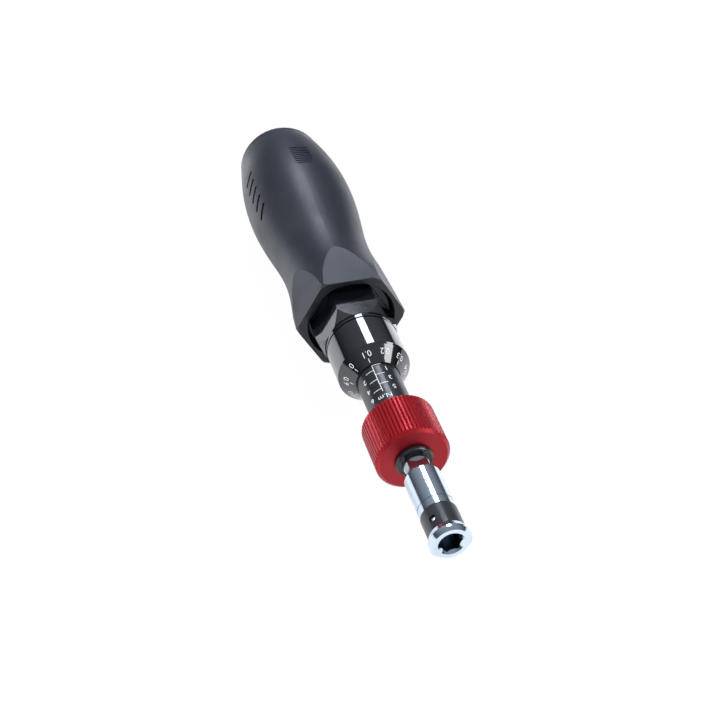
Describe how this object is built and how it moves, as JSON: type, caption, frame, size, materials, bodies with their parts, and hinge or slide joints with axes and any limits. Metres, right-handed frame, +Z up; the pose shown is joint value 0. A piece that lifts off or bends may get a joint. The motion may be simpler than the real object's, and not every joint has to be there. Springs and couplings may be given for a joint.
{
  "type": "torque screwdriver",
  "caption": "Click-type torque screwdriver with a micrometer thimble, fluted lock ring and a plug-on hexagon bit holder.",
  "frame": {"origin": "on the tool's axis, in the plane of the bit socket's mouth", "axes": "-Y along the axis out of the bit socket, +Y towards the handle's end, +Z up as the tool lies on a flat of the handle's flange, +X to the right seen from the bit"},
  "size_m": [0.039, 0.221, 0.039],
  "materials": {
    "handle_grip": "satin, blue-black, soft to the touch",
    "black_anodised": "glossy black anodised",
    "barrel_black": "satin black anodised with white engraved scale",
    "red_anodised": "satin red anodised, fluted",
    "black_ring": "glossy black",
    "chrome_steel": "bright chrome",
    "tool_steel": "hardened and ground",
    "spring_steel": "oiled spring steel",
    "bronze": "sintered bronze",
    "brass": "machined brass",
    "band_black": "satin black",
    "magnet": "nickel plated"
  },
  "bodies": {
    "handle": {"handle": "handle_grip", "end_cap": "handle_grip", "thimble": "black_anodised", "setting_nut": "brass", "adjusting_plug": "brass", "setting_spindle": "tool_steel", "spindle_nut": "tool_steel"},
    "rear_seat": {"rear_spring_seat": "tool_steel", "thrust_balls": "tool_steel"},
    "barrel": {"barrel": "barrel_black", "front_bush": "bronze", "thrust_washer": "bronze", "nose_ring": "black_ring", "friction_ring": "black_ring", "main_spring": "spring_steel"},
    "lock": {"lock_ring": "red_anodised", "lock_pins": "tool_steel", "lock_dog": "tool_steel"},
    "hub": {"lock_hub": "tool_steel"},
    "follower": {"cam_follower": "tool_steel", "front_spring_seat": "tool_steel"},
    "drive": {"drive_shaft": "tool_steel", "bit_holder": "chrome_steel", "retaining_band": "band_black", "bit_magnet": "magnet", "detent_spring": "spring_steel"},
    "bit_ball": {"bit_ball": "tool_steel"},
    "detent_ball": {"detent_ball": "tool_steel"}
  },
  "joints": [
    {"name": "setting_turn", "type": "hinge", "parent": "handle", "child": "rear_seat", "pos_m": [0, 0.105, 0], "axis": [0, 1, 0], "range_deg": [-36.2, 1764.2]},
    {"name": "setting_travel", "type": "slide", "parent": "rear_seat", "child": "barrel", "axis": [0, 1, 0], "range_m": [-0.00023, 0.01127], "deforming": ["main_spring"]},
    {"name": "hub_travel", "type": "slide", "parent": "handle", "child": "hub", "axis": [0, 1, 0], "range_m": [-0.00023, 0.01127]},
    {"name": "lock_slide", "type": "slide", "parent": "barrel", "child": "lock", "axis": [0, 1, 0], "range_m": [0, 0.002]},
    {"name": "clutch_click", "type": "hinge", "parent": "barrel", "child": "drive", "pos_m": [0, 0.045, 0], "axis": [0, 1, 0], "range_deg": [0, 56.2]},
    {"name": "follower_lift", "type": "slide", "parent": "barrel", "child": "follower", "axis": [0, 1, 0], "range_m": [0, 0.0009655]},
    {"name": "bit_ball_slide", "type": "slide", "parent": "drive", "child": "bit_ball", "axis": [-0.6428, 0, 0.766], "range_m": [0, 0.0003], "stiffness_N_per_m": 400, "springref_m": -0.0005},
    {"name": "detent_ball_slide", "type": "slide", "parent": "drive", "child": "detent_ball", "axis": [-1, 0, 0], "range_m": [0, 0.0005], "stiffness_N_per_m": 400, "springref_m": -0.0005, "deforming": ["detent_spring"]}
  ],
  "couplings": [
    {"joint": "setting_turn", "follows": "setting_travel", "rad_per_m": 2731.8},
    {"joint": "hub_travel", "follows": "setting_travel", "ratio": 1},
    {"joint": "clutch_click", "follows": "follower_lift", "rad_per_m": 1012.3}
  ]
}
